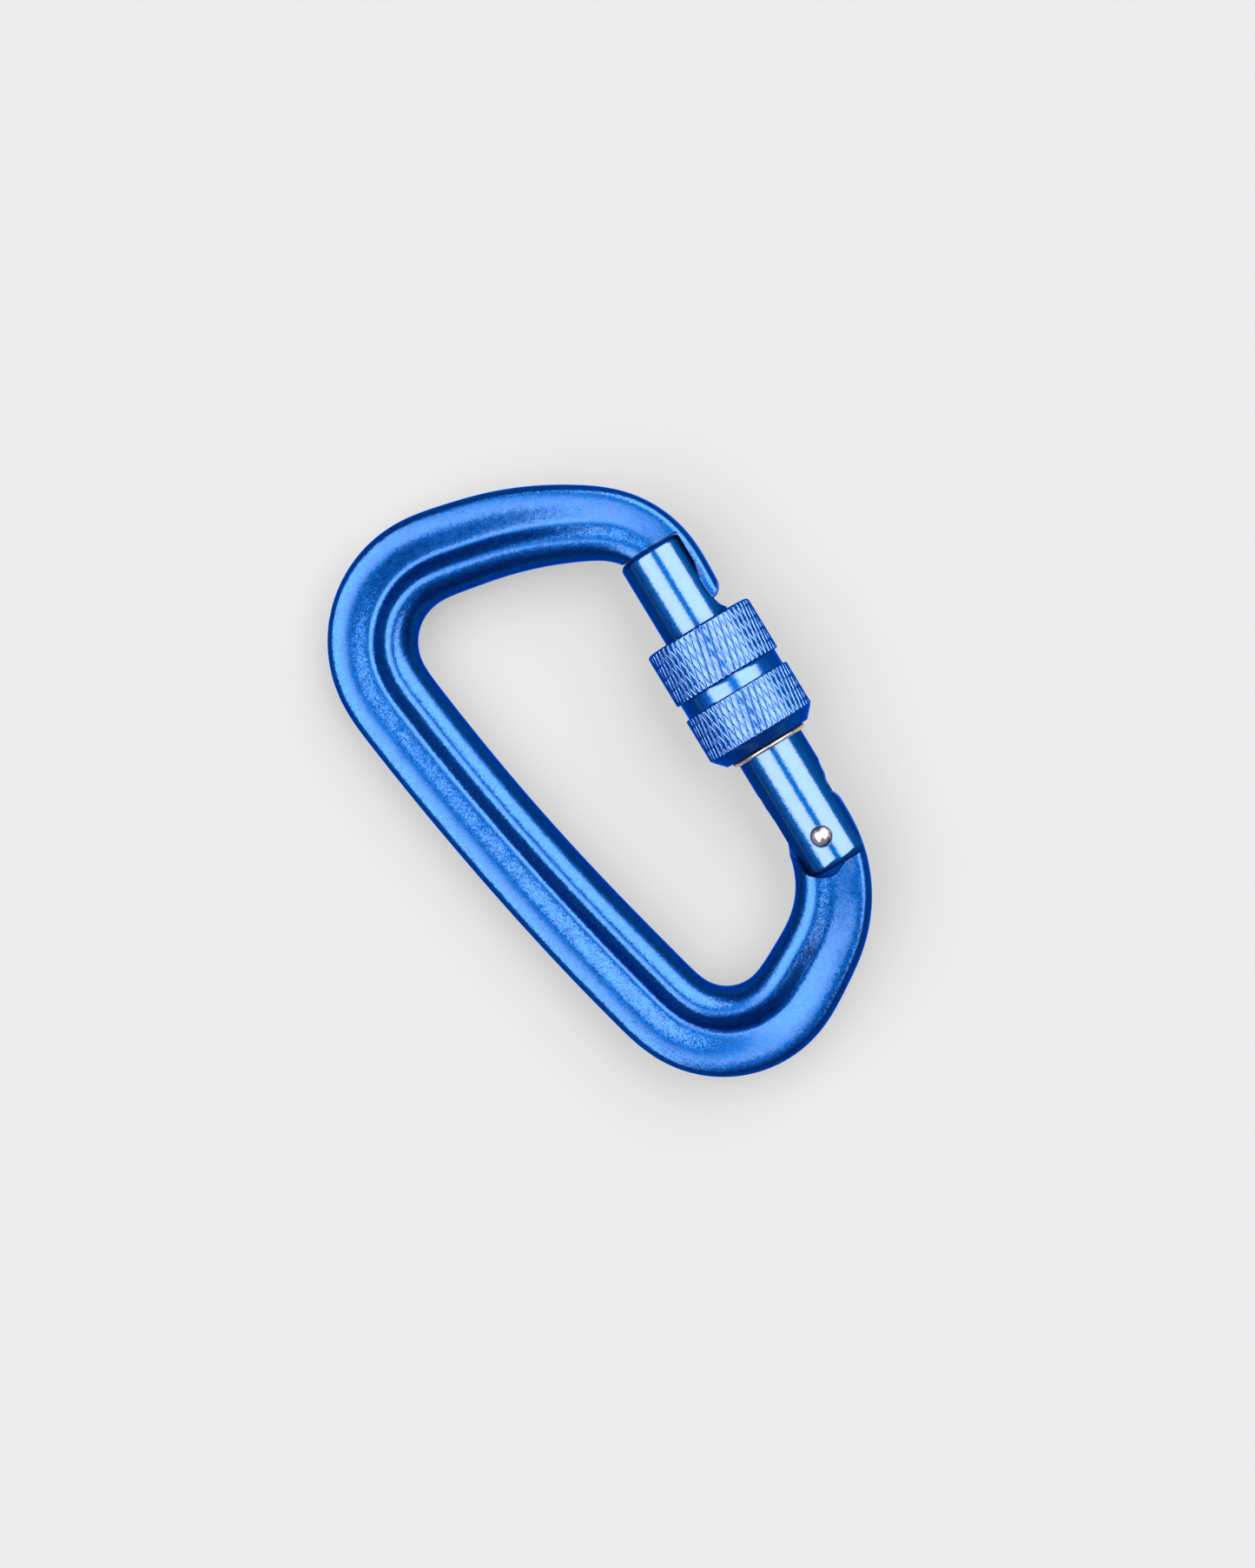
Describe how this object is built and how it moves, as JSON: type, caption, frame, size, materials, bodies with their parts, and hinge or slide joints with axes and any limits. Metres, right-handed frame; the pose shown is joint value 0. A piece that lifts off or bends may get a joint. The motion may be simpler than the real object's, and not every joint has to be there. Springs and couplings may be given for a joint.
{
  "type": "locking carabiner",
  "caption": "Small D-shaped screw-gate carabiner: forged blue frame, sprung gate on a rivet, knurled locking sleeve over the nose.",
  "frame": {"origin": "centre of the whole outline, on the forging's mid-plane", "axes": "+X out through the gate, +Y from the hinge towards the nose, +Z out of the flat side"},
  "size_m": [0.0481, 0.079, 0.0138],
  "materials": {
    "anodised_frame": "satin bead-blasted blue anodise",
    "anodised_gate": "smooth semi-gloss blue anodise",
    "anodised_sleeve": "knurled blue anodise",
    "rivet_steel": "smooth domed stainless head",
    "ring_steel": "drawn stainless wire",
    "spring_steel": "drawn spring wire",
    "plunger_steel": "turned steel"
  },
  "bodies": {
    "frame": {"frame": "anodised_frame"},
    "gate": {"gate_barrel": "anodised_gate", "hinge_rivet": "rivet_steel", "gate_spring": "spring_steel"},
    "plunger": {"spring_plunger": "plunger_steel"},
    "ring": {"retaining_ring": "ring_steel"},
    "sleeve": {"locking_sleeve": "anodised_sleeve"}
  },
  "joints": [
    {"name": "gate_hinge", "type": "hinge", "parent": "frame", "child": "gate", "pos_m": [0.017, -0.0185, 0], "axis": [0, 0, 1], "range_deg": [0, 25], "stiffness_Nm_per_rad": 0.08, "springref_deg": -17.19},
    {"name": "plunger_slide", "type": "slide", "parent": "gate", "child": "plunger", "axis": [0, 1, 0], "range_m": [0, 0.001], "deforming": ["gate_spring"]},
    {"name": "sleeve_travel", "type": "slide", "parent": "gate", "child": "ring", "axis": [0, 1, 0], "range_m": [0, 0.0045]},
    {"name": "sleeve_turn", "type": "hinge", "parent": "ring", "child": "sleeve", "pos_m": [0.017, 0, 0], "axis": [0, 1, 0], "range_deg": [0, 1080]}
  ],
  "couplings": [
    {"joint": "plunger_slide", "follows": "gate_hinge", "m_per_rad": 0.0022},
    {"joint": "sleeve_travel", "follows": "sleeve_turn", "m_per_rad": 0.00023873}
  ]
}
